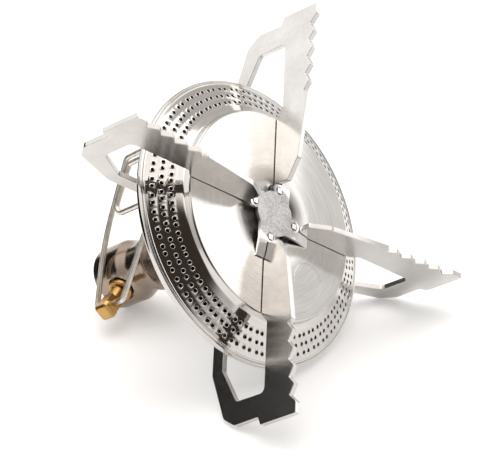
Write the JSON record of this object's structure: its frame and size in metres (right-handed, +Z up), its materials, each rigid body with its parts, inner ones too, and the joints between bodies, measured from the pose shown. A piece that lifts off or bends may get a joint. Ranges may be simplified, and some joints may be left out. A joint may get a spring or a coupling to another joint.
{
  "type": "camping stove",
  "caption": "Screw-on gas camping stove with a wide perforated burner head, four swinging serrated pot supports and a folding wire flame adjuster.",
  "frame": {"origin": "centre of the canister socket's mouth", "axes": "+Z up along the mixing tube, +X and +Y along two of the four pot supports"},
  "size_m": [0.1202, 0.1202, 0.0764],
  "materials": {
    "body_metal": "satin, grey-brown coated die casting",
    "seal_rubber": "matt",
    "filter_bronze": "porous sintered",
    "brass": "turned, warm yellow",
    "wire_steel": "drawn bright wire",
    "tube_steel": "satin",
    "fastener_steel": "plain",
    "plate_steel": "fine matt, dark",
    "burner_steel": "circular brushed",
    "support_steel": "tumbled stainless sheet"
  },
  "bodies": {
    "burner": {"valve_body": "body_metal", "canister_seal": "seal_rubber", "inlet_filter": "filter_bronze", "valve_probe": "brass", "gas_jet": "brass", "gland_nut": "brass", "stem_seal": "seal_rubber", "mixing_tube": "tube_steel", "locking_collar": "body_metal", "tube_screws": "fastener_steel", "lower_pivot_plate": "plate_steel", "support_spacer": "fastener_steel", "tube_nut": "fastener_steel", "burner_top": "burner_steel", "burner_bowl": "burner_steel", "flame_spreader": "burner_steel", "spreader_spacer": "fastener_steel", "hub_spacer": "fastener_steel", "hub_rivet": "plate_steel", "hub_plate": "plate_steel"},
    "support_1": {"pot_support_1": "support_steel"},
    "support_2": {"pot_support_2": "support_steel"},
    "support_3": {"pot_support_3": "support_steel"},
    "support_4": {"pot_support_4": "support_steel"},
    "stem": {"valve_stem": "brass"},
    "handle": {"flame_adjuster": "wire_steel"}
  },
  "joints": [
    {"name": "support_swing_1", "type": "hinge", "parent": "burner", "child": "support_1", "pos_m": [0.0013, 0.0072, 0.055], "axis": [0, 0, 1], "range_deg": [0, 90]},
    {"name": "support_swing_2", "type": "hinge", "parent": "burner", "child": "support_2", "pos_m": [-0.0072, 0.0013, 0.055], "axis": [0, 0, 1], "range_deg": [0, 90]},
    {"name": "support_swing_3", "type": "hinge", "parent": "burner", "child": "support_3", "pos_m": [-0.0013, -0.0072, 0.055], "axis": [0, 0, 1], "range_deg": [0, 90]},
    {"name": "support_swing_4", "type": "hinge", "parent": "burner", "child": "support_4", "pos_m": [0.0072, -0.0013, 0.055], "axis": [0, 0, 1], "range_deg": [0, 90]},
    {"name": "valve_turn", "type": "hinge", "parent": "burner", "child": "stem", "pos_m": [0, 0, 0.0076], "axis": [-0.515, -0.8572, 0], "range_deg": [-10, 10]},
    {"name": "handle_fold", "type": "hinge", "parent": "stem", "child": "handle", "pos_m": [-0.00773, -0.01286, 0.0076], "axis": [0, 0, 1], "range_deg": [0, 270]}
  ]
}
